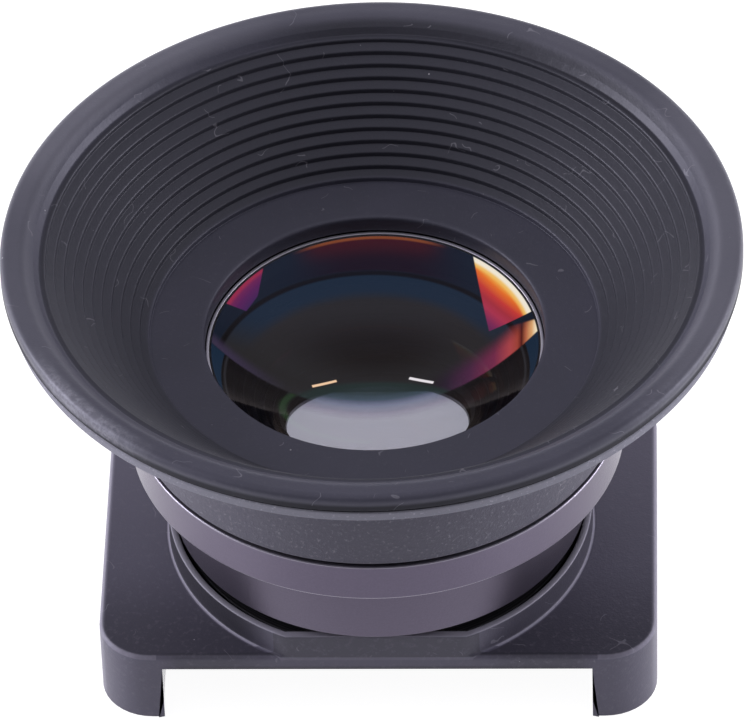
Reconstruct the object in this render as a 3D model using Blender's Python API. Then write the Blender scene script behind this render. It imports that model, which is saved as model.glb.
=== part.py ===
"""Camera eyepiece magnifier: a rubber eyecup on a metal barrel with a small Galilean telescope, screwed into a
moulded plate whose two legs slide over a camera's viewfinder frame.

Lengths are in metres. The optical axis is +Z, towards the eye. The plate's legs stand on z = 0, and the end of the
plate that the camera's frame enters faces -Y.
"""
import math

import bmesh
import bpy

# Counts and angles
ring_steps = 60
cup_steps = 48
lens_steps = 32
corner_steps = 5
lens_curve_steps = 4
rib_count = 12
baffle_count = 4
roll_steps = 6
roll_start = 150
sharp_angle = math.radians(35)
full_turn = 2 * math.pi

# Clearances
seat_gap = 0.0003
cement_gap = 0.0001
overrun = 0.001
weld_distance = 0.0000005

# Mount plate
plate_thickness = 0.00101
plate_corner_radius = 0.0031
plate_edge_bevel = 0.0003
leg_height = 0.00404
channel_width = 0.02537
leg_width = 0.003815
lead_in_width = 0.0003
lead_in_height = 0.0014
stop_wall = 0.0016
ridge_reach = 0.0006
ridge_height = 0.0009
ridge_lift = 0.0003
ridge_setback = 0.0046
ridge_taper = 0.0009
window_lip_height = 0.0005
window_lip_reach = 0.0009

# Collar that stands on the plate round the barrel's foot, cut flat at the plate's front and back
collar_wall = 0.0004
collar_height = 0.0017
collar_edge_bevel = 0.00015
collar_flat_wall = 0.00045

# Threaded ring inside the collar
thread_ring_wall = 0.00165
thread_ring_flat_wall = 0.00042
thread_ring_sink = 0.0003
thread_ring_chamfer = 0.0002

# Barrel, from its foot to its head
shoulder_gap = 0.00095
spigot_wall = 0.0012
thread_relief_depth = 0.0003
thread_relief_height = 0.0005
tube_wall = 0.001905
tube_length = 0.00523
flange_reach = 0.00228
flange_height = 0.00246
flange_taper = 0.00009
turned_edge = 0.0001
head_wall = 0.0018
head_height = 0.00378
head_chamfer = 0.00015
stop_radius = 0.0066
stop_height = 0.0015

# Eye lens and its ring
eye_lens_radius = 0.0109
eye_lens_edge = 0.00367
eye_front_curve = 0.026
eye_back_curve = 0.070
eye_ring_height = 0.0010
eye_ring_width = 0.001145
eye_ring_chamfer = 0.0002

# Baffle tube
baffle_top_wall = 0.0007
baffle_foot_wall = 0.003105
baffle_step = 0.00045
baffle_lip_height = 0.00025

# Field lens pair and its ring
field_lens_radius = 0.0085
crown_edge = 0.0007
flint_edge = 0.0017
crown_outer_curve = 0.045
cemented_curve = 0.022
flint_outer_curve = 0.056
field_ring_height = 0.00096
field_ring_wall = 0.0011
field_ring_recess = 0.0001

# Spanner slots in both lens rings
slot_width = 0.0012
slot_depth = 0.0005
slot_reach = 0.0006

# Eyecup
mouth_margin = 0.000215
mouth_round = 0.0002
floor_thickness = 0.00107
bowl_radius = 0.01316
bowl_wall = 0.00142
rib_run = 0.000527
rib_rise = 0.000544
rib_riser = 0.00029
rib_nose = 0.00004
neck_wall = 0.0010
neck_edge = 0.0001
bead_rise = 0.0010
bead_height = 0.0008
bead_reach = 0.0005
lip_ledge = 0.000403
lip_step = 0.0003
lip_rise = 0.001126
lip_width = 0.00222
lip_roll = 0.0009
lip_shoulder = 0.0003
hem_drop = 0.00023
hem_groove = 0.00014
hem_height = 0.0006
hem_lean = 0.0002
hem_underside = 0.0003

# Heights of the stack, from the feet up
plate_underside = leg_height
window_lip_top = plate_underside + window_lip_height
barrel_foot = window_lip_top + seat_gap
plate_top = plate_underside + plate_thickness
collar_top = plate_top + collar_height
tube_end = collar_top + shoulder_gap
flange_bottom = tube_end + tube_length
flange_top = flange_bottom + flange_height
head_top = flange_top + head_height
floor_underside = head_top + seat_gap
floor_top = floor_underside + floor_thickness

# The field lens pair stands on its ring at the barrel's foot, and its top meets the stop
field_ring_bottom = barrel_foot + field_ring_recess
field_ring_top = field_ring_bottom + field_ring_height
crown_bottom = field_ring_top + seat_gap
crown_top = crown_bottom + crown_edge
flint_bottom = crown_top + cement_gap
flint_top = flint_bottom + flint_edge
stop_bottom = flint_top + seat_gap
stop_top = stop_bottom + stop_height

# The eye lens hangs from its ring at the barrel's head
eye_ring_bottom = head_top - eye_ring_height
eye_lens_top = eye_ring_bottom - seat_gap
eye_lens_bottom = eye_lens_top - eye_lens_edge
eye_seat = eye_lens_bottom - seat_gap

# Radii that follow the eye lens
eye_bore = eye_lens_radius + seat_gap
eye_ring_radius = eye_lens_radius - eye_ring_width
mouth_radius = eye_ring_radius + mouth_margin
head_radius = eye_bore + head_wall
neck_inner_radius = head_radius + seat_gap
neck_radius = neck_inner_radius + neck_wall
baffle_bore = eye_ring_radius + baffle_top_wall
baffle_radius = baffle_bore - seat_gap
tube_radius = baffle_bore + tube_wall
flange_radius = tube_radius + flange_reach

# Radii that follow the field lenses, out to the collar
field_bore = field_lens_radius + seat_gap
spigot_radius = field_bore + spigot_wall
thread_bore = spigot_radius + seat_gap
window_radius = thread_bore - window_lip_reach
thread_ring_radius = thread_bore + thread_ring_wall
thread_ring_flat = thread_bore + thread_ring_flat_wall
collar_inner_radius = thread_ring_radius + seat_gap
collar_inner_flat = thread_ring_flat + seat_gap
collar_radius = collar_inner_radius + collar_wall

# The plate's sides follow the channel, and its front and back are flush with the collar's flats
plate_width = channel_width + 2 * leg_width
plate_depth = 2 * (collar_inner_flat + collar_flat_wall)

# The last rib and the lip that crowns it
last_rib_radius = bowl_radius + (rib_count - 1) * rib_run
last_rib_height = floor_top + (rib_count - 1) * rib_rise
lip_inner_radius = last_rib_radius + lip_ledge
lip_inner_height = last_rib_height + lip_step
lip_radius = lip_inner_radius + lip_width
lip_top = last_rib_height + lip_rise

# Colour, roughness, metallic value and alpha of each piece
looks = {
    "mount_plate": ((0.045, 0.043, 0.055), 0.48, 0.0, 1.0),
    "thread_ring": ((0.05, 0.048, 0.055), 0.5, 0.8, 1.0),
    "barrel": ((0.16, 0.145, 0.18), 0.36, 0.85, 1.0),
    "eye_lens_ring": ((0.05, 0.048, 0.055), 0.45, 0.8, 1.0),
    "eye_lens": ((0.75, 0.8, 0.9), 0.02, 0.0, 0.35),
    "baffle_tube": ((0.015, 0.014, 0.016), 0.7, 0.4, 1.0),
    "field_flint_lens": ((0.8, 0.85, 0.8), 0.02, 0.0, 0.35),
    "field_crown_lens": ((0.85, 0.88, 0.9), 0.02, 0.0, 0.35),
    "field_lens_ring": ((0.05, 0.048, 0.055), 0.5, 0.8, 1.0),
    "eyecup": ((0.035, 0.036, 0.045), 0.62, 0.0, 1.0),
}


def make_material(name):
    """A plain Principled material with the piece's look."""
    colour, roughness, metallic, alpha = looks[name]
    material = bpy.data.materials.new(name)
    material.use_nodes = True
    shader = material.node_tree.nodes["Principled BSDF"]
    shader.inputs["Base Color"].default_value = (*colour, 1.0)
    shader.inputs["Roughness"].default_value = roughness
    shader.inputs["Metallic"].default_value = metallic
    shader.inputs["Alpha"].default_value = alpha
    return material


def add_object(name, form):
    """Turns a bmesh into a named object, smooth but for its sharp edges. A name without a look is a cutting tool."""
    bmesh.ops.recalc_face_normals(form, faces=form.faces)
    mesh = bpy.data.meshes.new(name)
    form.to_mesh(mesh)
    form.free()
    mesh.shade_smooth()
    mesh.set_sharp_from_angle(angle=sharp_angle)
    piece = bpy.data.objects.new(name, mesh)
    bpy.context.scene.collection.objects.link(piece)
    if name in looks:
        mesh.materials.append(make_material(name))
    return piece


def turned(name, outline, steps):
    """Spins an outline of (radius, height) points about the optical axis. It is closed, or ends on the axis."""
    form = bmesh.new()
    points = [form.verts.new((radius, 0, height)) for radius, height in outline]
    edges = [form.edges.new(pair) for pair in zip(points, points[1:])]
    if outline[0][0] > 0:
        edges.append(form.edges.new((points[-1], points[0])))
    bmesh.ops.spin(form, geom=points + edges, cent=(0, 0, 0), axis=(0, 0, 1), angle=full_turn, steps=steps,
                   use_merge=True)
    bmesh.ops.remove_doubles(form, verts=form.verts, dist=weld_distance)
    return add_object(name, form)


def prism(name, levels):
    """Joins outlines of equally many (x, y) points, each at its own height, and closes both ends."""
    form = bmesh.new()
    rings = [[form.verts.new((x, y, height)) for x, y in outline] for height, outline in levels]
    for low, high in zip(rings, rings[1:]):
        for i in range(len(low)):
            form.faces.new((low[i - 1], low[i], high[i], high[i - 1]))
    form.faces.new(rings[0])
    form.faces.new(rings[-1])
    return add_object(name, form)


def combine(target, tool, operation):
    """Cuts a tool out of a piece, or joins it on, and removes the tool."""
    modifier = target.modifiers.new(operation, "BOOLEAN")
    modifier.operation = operation
    modifier.object = tool
    modifier.solver = "EXACT"
    bpy.context.view_layer.update()
    depsgraph = bpy.context.evaluated_depsgraph_get()
    old = target.data
    target.data = bpy.data.meshes.new_from_object(target.evaluated_get(depsgraph))
    target.data.set_sharp_from_angle(angle=sharp_angle)
    target.modifiers.clear()
    bpy.data.meshes.remove(old)
    bpy.data.objects.remove(tool)


def arc(centre_x, centre_y, radius, start, stop, steps):
    """Points along an arc; the angles are in degrees from the first axis."""
    points = []
    for i in range(steps + 1):
        angle = math.radians(start + (stop - start) * i / steps)
        points.append((centre_x + radius * math.cos(angle), centre_y + radius * math.sin(angle)))
    return points


def rectangle(left, right, front, back):
    return [(left, front), (right, front), (right, back), (left, back)]


def rounded_rectangle(width, depth, radius):
    """Outline of a rectangle with round corners, centred on the axis."""
    points = []
    for corner, (side_x, side_y) in enumerate(((1, 1), (-1, 1), (-1, -1), (1, -1))):
        centre_x = side_x * (width / 2 - radius)
        centre_y = side_y * (depth / 2 - radius)
        points += arc(centre_x, centre_y, radius, 90 * corner, 90 * (corner + 1), corner_steps)
    return points


def flat_sided_circle(radius, flat):
    """Outline of a circle cut straight across at y = -flat and y = flat."""
    half_angle = math.degrees(math.acos(flat / radius))
    right = arc(0, 0, radius, half_angle - 90, 90 - half_angle, ring_steps // 2)
    left = arc(0, 0, radius, half_angle + 90, 270 - half_angle, ring_steps // 2)
    return right + left


def sag(curve, reach):
    """How far a spherical surface falls away at a distance from its axis."""
    return curve - math.sqrt(curve ** 2 - reach ** 2)


def lens_surface(vertex, curve, reach, way):
    """Points of a spherical surface from its vertex out; way is +1 where its edge lies above the vertex."""
    distances = [reach * i / lens_curve_steps for i in range(lens_curve_steps + 1)]
    return [(distance, vertex + way * sag(curve, distance)) for distance in distances]


def mount_plate():
    """Plate with two legs, a stop wall between them, guide ridges and a collar with a flat front and back."""
    half_depth = plate_depth / 2
    outline = rounded_rectangle(plate_width, plate_depth, plate_corner_radius)
    top_outline = rounded_rectangle(plate_width - 2 * plate_edge_bevel, plate_depth - 2 * plate_edge_bevel,
                                    plate_corner_radius - plate_edge_bevel)
    plate = prism("mount_plate", [(0, outline), (plate_top - plate_edge_bevel, outline), (plate_top, top_outline)])

    # The channel between the legs is wider at the feet, to lead the camera's frame in
    wall = channel_width / 2
    lead_in = wall + lead_in_width
    front = -half_depth - overrun
    back = half_depth - stop_wall
    levels = [(-overrun, rectangle(-lead_in, lead_in, front, back)),
              (0, rectangle(-lead_in, lead_in, front, back)),
              (lead_in_height, rectangle(-wall, wall, front, back)),
              (plate_underside, rectangle(-wall, wall, front, back))]
    combine(plate, prism("channel", levels), "DIFFERENCE")

    # A thin ridge along each leg grips the groove in the camera's frame
    ridge_start = -half_depth + ridge_setback
    root = lead_in + ridge_reach
    crest = wall - ridge_reach
    for side in (-1, 1):
        outline = [(side * root, ridge_start), (side * wall, ridge_start), (side * crest, ridge_start + ridge_taper),
                   (side * crest, back + ridge_reach), (side * root, back + ridge_reach)]
        combine(plate, prism("ridge", [(ridge_lift, outline), (ridge_lift + ridge_height, outline)]), "UNION")

    # The collar stands in the plate, and its flats are flush with the plate's front and back
    levels = [(plate_top - plate_thickness / 2, flat_sided_circle(collar_radius, half_depth)),
              (collar_top - collar_edge_bevel, flat_sided_circle(collar_radius, half_depth)),
              (collar_top, flat_sided_circle(collar_radius - collar_edge_bevel, half_depth))]
    combine(plate, prism("collar", levels), "UNION")
    recess = flat_sided_circle(collar_inner_radius, collar_inner_flat)
    combine(plate, prism("recess", [(plate_top, recess), (collar_top + overrun, recess)]), "DIFFERENCE")

    # The hole for the spigot ends on a lip round the window
    hole = [(0, collar_top + overrun), (thread_bore, collar_top + overrun), (thread_bore, window_lip_top),
            (window_radius, window_lip_top), (window_radius, -overrun), (0, -overrun)]
    combine(plate, turned("hole", hole, ring_steps), "DIFFERENCE")


def thread_ring():
    """Metal ring with the female thread; its flats keep it from turning in the collar."""
    outline = flat_sided_circle(thread_ring_radius, thread_ring_flat)
    bottom = plate_top + cement_gap
    top = collar_top - thread_ring_sink
    ring = prism("thread_ring", [(bottom, outline), (top, outline)])
    bore = [(0, top + overrun), (thread_bore + thread_ring_chamfer, top + overrun),
            (thread_bore + thread_ring_chamfer, top), (thread_bore, top - thread_ring_chamfer),
            (thread_bore, bottom - overrun), (0, bottom - overrun)]
    combine(ring, turned("bore", bore, ring_steps), "DIFFERENCE")


def barrel():
    """Turned body: grooved head for the eyecup, tapered flange, tube, spigot for the thread, and the lens bores."""
    groove_bottom = flange_top + bead_rise
    groove_top = groove_bottom + bead_height + 2 * seat_gap
    groove_radius = neck_inner_radius - bead_reach - seat_gap
    flange_top_radius = flange_radius - flange_taper
    relief_radius = spigot_radius - thread_relief_depth
    relief_bottom = tube_end - thread_relief_height
    head = [(eye_bore, head_top), (head_radius - head_chamfer, head_top), (head_radius, head_top - head_chamfer),
            (head_radius, groove_top), (groove_radius, groove_top), (groove_radius, groove_bottom),
            (head_radius, groove_bottom), (head_radius, flange_top)]
    flange = [(flange_top_radius - turned_edge, flange_top), (flange_top_radius, flange_top - turned_edge),
              (flange_radius, flange_bottom + turned_edge), (flange_radius - turned_edge, flange_bottom)]
    tube = [(tube_radius, flange_bottom), (tube_radius, tube_end + turned_edge),
            (tube_radius - turned_edge, tube_end)]
    spigot = [(relief_radius, tube_end), (relief_radius, relief_bottom),
              (spigot_radius, relief_bottom - thread_relief_depth),
              (spigot_radius, barrel_foot + thread_relief_depth), (relief_radius, barrel_foot)]
    bores = [(field_bore, barrel_foot), (field_bore, stop_bottom), (stop_radius, stop_bottom),
             (stop_radius, stop_top), (baffle_bore, stop_top), (baffle_bore, eye_seat), (eye_bore, eye_seat)]
    turned("barrel", head + flange + tube + spigot + bores, ring_steps)


def cut_slots(ring, inner_radius, outer_radius, face, way):
    """Cuts two spanner slots across a ring's face; way is +1 where the face looks up."""
    low, high = sorted((face - way * slot_depth, face + way * overrun))
    for side in (-1, 1):
        near, far = sorted((side * (inner_radius + slot_reach), side * (outer_radius + overrun)))
        outline = rectangle(near, far, -slot_width / 2, slot_width / 2)
        combine(ring, prism("slot", [(low, outline), (high, outline)]), "DIFFERENCE")


def eye_lens_ring():
    """Slotted ring over the eye lens; its chamfered inner edge shows inside the eyecup's mouth."""
    throat = eye_ring_radius - eye_ring_chamfer
    outline = [(eye_lens_radius, head_top), (eye_lens_radius, eye_ring_bottom), (throat, eye_ring_bottom),
               (throat, head_top - eye_ring_chamfer), (eye_ring_radius, head_top)]
    ring = turned("eye_lens_ring", outline, ring_steps)
    cut_slots(ring, eye_ring_radius, eye_lens_radius, head_top, 1)


def eye_lens():
    """Negative lens, hollow on both sides, deeper towards the eye."""
    front_reach = eye_ring_radius
    back_reach = baffle_bore - baffle_top_wall
    front = lens_surface(eye_lens_top - sag(eye_front_curve, front_reach), eye_front_curve, front_reach, 1)
    back = lens_surface(eye_lens_bottom + sag(eye_back_curve, back_reach), eye_back_curve, back_reach, -1)
    edge = [(eye_lens_radius, eye_lens_top), (eye_lens_radius, eye_lens_bottom)]
    turned("eye_lens", front + edge + back[::-1], lens_steps)


def baffle_tube():
    """Blackened cone between the lenses, with steps that stop stray light."""
    bottom = stop_top + seat_gap
    mouth = baffle_radius - baffle_top_wall
    throat = baffle_radius - baffle_foot_wall
    pitch = (eye_seat - bottom) / baffle_count
    widening = (mouth - throat) / baffle_count
    outline = [(mouth, eye_seat), (baffle_radius, eye_seat), (baffle_radius, bottom)]
    for i in range(baffle_count):
        radius = throat + i * widening
        height = bottom + i * pitch
        outline += [(radius, height), (radius, height + baffle_lip_height),
                    (radius + baffle_step, height + baffle_lip_height)]
    turned("baffle_tube", outline, lens_steps)


def field_crown_lens():
    """Positive half of the field lens pair, bulging both ways."""
    outer_reach = field_lens_radius - field_ring_wall
    inner_reach = field_lens_radius - field_ring_wall / 2
    outer = lens_surface(crown_bottom - sag(crown_outer_curve, outer_reach), crown_outer_curve, outer_reach, 1)
    inner = lens_surface(crown_top + sag(cemented_curve, inner_reach), cemented_curve, inner_reach, -1)
    edge = [(field_lens_radius, crown_bottom), (field_lens_radius, crown_top)]
    turned("field_crown_lens", outer + edge + inner[::-1], lens_steps)


def field_flint_lens():
    """Negative half of the field lens pair, hollow where it is cemented to the crown."""
    inner_reach = field_lens_radius - field_ring_wall / 2
    outer_reach = stop_radius
    inner = lens_surface(flint_bottom + sag(cemented_curve, inner_reach), cemented_curve, inner_reach, -1)
    outer = lens_surface(flint_top + sag(flint_outer_curve, outer_reach), flint_outer_curve, outer_reach, -1)
    edge = [(field_lens_radius, flint_bottom), (field_lens_radius, flint_top)]
    turned("field_flint_lens", inner + edge + outer[::-1], lens_steps)


def field_lens_ring():
    """Slotted ring that closes the barrel's foot under the field lenses."""
    inner = field_lens_radius - field_ring_wall
    outline = [(field_lens_radius, field_ring_top), (field_lens_radius, field_ring_bottom),
               (inner, field_ring_bottom), (inner, field_ring_top)]
    ring = turned("field_lens_ring", outline, lens_steps)
    cut_slots(ring, inner, field_lens_radius, field_ring_bottom, -1)


def eyecup():
    """Flared rubber cup: terraced bowl, rolled lip with a hem under it, cone, and a neck that grips the head."""
    mouth = [(mouth_radius, floor_underside), (mouth_radius, floor_top - mouth_round),
             (mouth_radius + mouth_round, floor_top)]

    # The terraces climb from the floor; each has a riser, a blunt nose and a tread that slopes up to the next corner
    terraces = []
    for i in range(rib_count):
        radius = bowl_radius + i * rib_run
        height = floor_top + i * rib_rise
        nose = height + rib_riser
        terraces += [(radius, height), (radius + rib_nose / 2, nose - rib_nose), (radius + rib_nose * 1.5, nose)]

    # The lip rises from the last ledge, rolls over and ends in a groove above the hem
    roll_height = lip_top - lip_roll
    hem_top = roll_height - hem_drop
    lip = [(lip_inner_radius, lip_inner_height),
           (lip_inner_radius + lip_shoulder, lip_inner_height + lip_step + rib_nose)]
    lip += arc(lip_radius - lip_roll, roll_height, lip_roll, roll_start, 0, roll_steps)
    hem = [(lip_radius - hem_groove * 2, hem_top), (lip_radius - hem_groove, hem_top - hem_groove),
           (lip_radius - hem_groove - hem_lean, hem_top - hem_height)]

    # The outside of the bowl runs parallel to the terraces, down to the neck
    slope = math.hypot(rib_run, rib_rise)
    cone_radius = bowl_radius + bowl_wall * rib_rise / slope
    cone_height = floor_top - bowl_wall * rib_run / slope
    cone_top = hem_top - hem_height - hem_underside
    cone = [(cone_radius + (cone_top - cone_height) * rib_run / rib_rise, cone_top),
            (neck_radius, cone_height + (neck_radius - cone_radius) * rib_rise / rib_run)]

    # The bead inside the neck sits in the groove of the barrel's head
    neck_end = flange_top + seat_gap
    bead_bottom = neck_end + bead_rise
    bead_top = bead_bottom + bead_height
    bead_radius = neck_inner_radius - bead_reach
    neck = [(neck_radius, neck_end + neck_edge), (neck_radius - neck_edge, neck_end), (neck_inner_radius, neck_end),
            (neck_inner_radius, bead_bottom), (bead_radius, bead_bottom), (bead_radius, bead_top),
            (neck_inner_radius, bead_top), (neck_inner_radius, floor_underside)]
    turned("eyecup", mouth + terraces + lip + hem + cone + neck, cup_steps)


for old_object in list(bpy.data.objects):
    bpy.data.objects.remove(old_object)
for make_piece in (mount_plate, thread_ring, barrel, eye_lens_ring, eye_lens, baffle_tube, field_flint_lens,
                   field_crown_lens, field_lens_ring, eyecup):
    make_piece()
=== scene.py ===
"""Camera eyepiece magnifier: the looks of its ten sub-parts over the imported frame, in a plain studio.

Sizes and profiles are in millimetres and become metres where a mesh is made. Every surface is either a
profile turned about the optical axis, which is +Z, or a stack of outlines.
"""
import math

import bmesh
import bpy
import numpy as np
from mathutils import Matrix


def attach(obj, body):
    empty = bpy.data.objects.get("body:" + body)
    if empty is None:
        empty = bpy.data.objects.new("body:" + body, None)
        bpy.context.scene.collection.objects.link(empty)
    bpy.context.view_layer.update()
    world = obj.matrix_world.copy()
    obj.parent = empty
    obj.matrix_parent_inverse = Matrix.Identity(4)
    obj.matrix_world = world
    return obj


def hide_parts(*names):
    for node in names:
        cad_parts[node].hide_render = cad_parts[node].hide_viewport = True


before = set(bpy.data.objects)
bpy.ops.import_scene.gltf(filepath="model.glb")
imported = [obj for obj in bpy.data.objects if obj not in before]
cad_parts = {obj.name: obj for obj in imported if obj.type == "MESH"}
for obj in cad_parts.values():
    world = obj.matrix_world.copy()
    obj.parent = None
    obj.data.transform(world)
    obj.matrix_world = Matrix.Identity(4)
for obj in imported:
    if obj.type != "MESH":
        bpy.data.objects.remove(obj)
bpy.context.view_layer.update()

mm = 0.001

# Camera, as fitted to the photograph
camera_aim = (-0.156, 3.391, 15.0)
camera_distance = 497.47
camera_azimuth = -2.7527
camera_elevation = 42.9456
camera_roll = -2.0435
camera_lens = 401.91
camera_sensor = 36.0

# Mount plate, with the channel between its legs
plate_underside = 4.04
plate_top = 5.05
plate_half_width = 16.5
plate_half_depth = 11.47
plate_corner = 3.1
plate_edge_round = 0.3
plate_hole = 10.3
window_radius = 9.4
window_lip_top = 4.54
channel_wall = 12.685
channel_lead_in = 12.985
lead_in_height = 1.4
channel_stop = 9.87
foot_bevel = 0.1

# Ridges on the legs' inner faces
ridge_root = 12.9
ridge_crest = 12.085
ridge_front = -6.87
ridge_back = 10.2
ridge_bottom = 0.3
ridge_top = 1.2
ridge_bevel = 0.08

# Collar on the plate, cut flat at the front and the back
collar_radius = 12.65
collar_flat = 11.473
collar_inner_radius = 12.25
collar_inner_flat = 11.02
collar_foot = 4.6
collar_top = 6.75

# Ring with the female thread, in the collar
thread_ring_radius = 11.95
thread_ring_flat = 10.72
thread_ring_bottom = 5.15
thread_ring_top = 6.45
thread_ring_run_out = 0.15
thread_bore = 10.28
thread_ridge = 0.2
thread_pitch = 0.5

# Barrel, from its foot up
barrel_foot = 4.84
spigot_radius = 10.0
spigot_bore = 8.8
thread_depth = 0.27
thread_bottom = 5.0
thread_top = 7.0
thread_run_out = 0.2
relief_radius = 9.7
relief_bottom = 7.2
tube_end = 7.58
tube_radius = 12.36
stop_bottom = 9.00
stop_top = 10.50
stop_radius = 7.4
flange_bottom = 12.93
flange_radius = 14.64
flange_top = 15.39
flange_top_radius = 14.55
cell_radius = 10.455
eye_seat = 13.90
groove_bottom = 16.39
groove_top = 17.79
groove_radius = 12.5
head_top = 19.17
head_radius = 13.0
head_bore = 11.2

# Eye lens, and the ring that holds it
eye_lens_radius = 10.9
eye_lens_bottom = 14.20
eye_lens_top = 17.87
eye_front_top = 19.40
eye_front_radius = 9.70
eye_front_curve = 26.0
eye_back_radius = 9.755
eye_back_curve = 70.0
eye_clear_radius = 9.68
eye_ring_bottom = 18.17
eye_ring_lip = 19.45
eye_ring_throat = 9.73
eye_ring_edge = 9.93

# Baffle between the eye lens and the field lenses
baffle_bottom = 10.8
baffle_radius = 10.155
baffle_mouth = 9.455
baffle_throat = 7.7
baffle_steps = 4
baffle_tread = 0.33
baffle_riser = 0.25

# Field lenses, and the ring that closes the stack
field_lens_radius = 8.5
field_clear_radius = 7.96
crown_bottom = 6.20
crown_top = 6.90
crown_reach = 7.9
crown_curve = 45.0
flint_bottom = 7.00
flint_top = 8.70
flint_reach = 7.4
flint_curve = 56.0
inner_reach = 7.95
inner_curve = 22.0
field_ring_bottom = 4.94
field_ring_top = 5.90
field_ring_bore = 7.8
field_slot_start = 8.0

# Spanner slots in both lens rings
slot_half_width = 0.6
slot_depth = 0.5
eye_slot_start = 10.35

# Eyecup: opening, terraced bowl, rolled lip with its hem, cone, neck and inner bead
cup_opening = 9.97
cup_underside = 19.47
floor_top = 20.54
bowl_radius = 13.16
rib_count = 12
rib_run = 0.527
rib_rise = 0.544
rib_riser = 0.29
ledge_radius = 19.36
ledge_height = 26.78
lip_foot_radius = 19.66
lip_foot = 27.15
lip_inner_radius = 20.30
lip_top = 27.65
lip_radius = 21.58
lip_underside = 26.72
hem_radius = 21.46
hem_top_radius = 21.30
hem_top = 26.52
hem_middle = 26.38
hem_bottom = 25.70
cone_top_radius = 20.06
cone_top = 25.55
cone_foot = 19.83
neck_outer = 14.46
neck_inner = 13.3
neck_end = 15.56
bead_radius = 12.8
bead_bottom = 16.69
bead_top = 17.49

# Mesh density
turned_columns = 360
lens_columns = 180
thread_rows = 49
thread_ring_rows = 30
sharp_angle = 40
merge_distance = 0.0004


# Meshes

def rounded(corners, steps=4):
    """A closed profile from (radius, height, rounding) corners. A corner with a rounding becomes the arc that
    touches both of its sides, centre = corner + bisector * rounding / sin(half angle), with one more point on
    either side of it that keeps the flat beside the arc flat in smooth shading."""
    points = []
    for i, corner in enumerate(corners):
        here = np.array(corner[:2], float)
        rounding = corner[2] if len(corner) > 2 else 0
        if not rounding:
            points.append(here)
            continue
        before = np.array(corners[i - 1][:2], float) - here
        after = np.array(corners[(i + 1) % len(corners)][:2], float) - here
        room = 0.5 * min(np.linalg.norm(before), np.linalg.norm(after))
        before /= np.linalg.norm(before)
        after /= np.linalg.norm(after)
        half = 0.5 * math.acos(np.clip(before @ after, -1, 1))
        reach = min(rounding / math.tan(half), 0.8 * room)
        radius = reach * math.tan(half)
        bisector = (before + after) / np.linalg.norm(before + after)
        centre = here + bisector * radius / math.sin(half)
        start, end = here + before * reach - centre, here + after * reach - centre
        sweep = math.atan2(start[0] * end[1] - start[1] * end[0], start @ end)
        hold = min(0.6 * reach, room - reach)
        points.append(here + before * (reach + hold))
        for t in np.linspace(0, sweep, steps + 1):
            turn = np.array([[math.cos(t), -math.sin(t)], [math.sin(t), math.cos(t)]])
            points.append(centre + turn @ start)
        points.append(here + after * (reach + hold))
    return np.array(points)


def grid_faces(rows, columns, closed_rows):
    """Quads of a grid whose columns close on themselves, and whose rows do too if it has no ends."""
    row = np.arange(rows if closed_rows else rows - 1)[:, None]
    column = np.arange(columns)[None, :]
    upper, right = (row + 1) % rows, (column + 1) % columns
    quads = [row * columns + column, row * columns + right, upper * columns + right, upper * columns + column]
    return np.stack(quads, -1).reshape(-1, 4)


def make_piece(name, points, faces, material, body, nodes):
    """Makes a smooth piece from points in millimetres. Coincident points, as at a lens's pole, become one."""
    mesh = bpy.data.meshes.new(name)
    mesh.from_pydata((points * mm).tolist(), [], faces.tolist())
    form = bmesh.new()
    form.from_mesh(mesh)
    bmesh.ops.remove_doubles(form, verts=form.verts, dist=merge_distance * mm)
    bmesh.ops.recalc_face_normals(form, faces=form.faces)
    form.to_mesh(mesh)
    form.free()
    mesh.shade_smooth()
    mesh.set_sharp_from_angle(angle=math.radians(sharp_angle))
    mesh.materials.append(material)
    piece = bpy.data.objects.new(name, mesh)
    bpy.context.scene.collection.objects.link(piece)
    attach(piece, body)
    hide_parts(*nodes)


def thread_wave(height, angle, start, end, run_out):
    """A thread's flanks: a triangle wave from 0 to 1 of z / pitch - a / 2 pi that dies away at both ends."""
    wave = np.abs(2 * ((height / thread_pitch - angle / (2 * math.pi)) % 1) - 1)
    return wave * np.clip((height - start) / run_out, 0, 1) * np.clip((end - height) / run_out, 0, 1)


def turned(profile, columns, thread, notch):
    """Points of a profile turned about the axis: (r cos a, r sin a, z). A thread is (depth, start, end), and
    raises r by up to its depth between the heights start and end. A notch is (start radius, floor, way):
    beyond the start radius, over a slot's width in y, z goes no higher than the floor, or no lower where way
    is -1."""
    angle = np.linspace(0, 2 * math.pi, columns, endpoint=False)[None, :]
    radius, height = profile[:, 0:1], profile[:, 1:2]
    if thread:
        depth, start, end = thread
        radius = radius + depth * thread_wave(height, angle, start, end, thread_run_out)
    radius, height = radius + 0 * angle, height + 0 * angle
    across, along = radius * np.cos(angle), radius * np.sin(angle)
    if notch:
        start, floor, way = notch
        within = (radius > start) & (np.abs(along) < slot_half_width)
        height = np.where(within, way * np.minimum(way * height, way * floor), height)
    return np.stack([across, along, height], -1).reshape(-1, 3)


def turned_piece(name, profile, material, body, node, closed=True, columns=turned_columns,
                 thread=None, notch=None):
    """A profile turned about the axis. It closes on itself, or else both its ends lie on the axis."""
    points = turned(profile, columns, thread, notch)
    make_piece(name, points, grid_faces(len(profile), columns, closed), material, body, [node])


def stacked_piece(name, outlines, material, body, nodes):
    """A closed ring of surface from outlines of equally many (x, y, z) points; the last joins the first."""
    points = np.array(outlines, float)
    rows, columns = points.shape[:2]
    make_piece(name, points.reshape(-1, 3), grid_faces(rows, columns, True), material, body, nodes)


def at(outline, height):
    """An outline of (x, y) points lifted to a height, or to one height for each point."""
    return np.column_stack([outline, np.broadcast_to(height, len(outline))])


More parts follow.
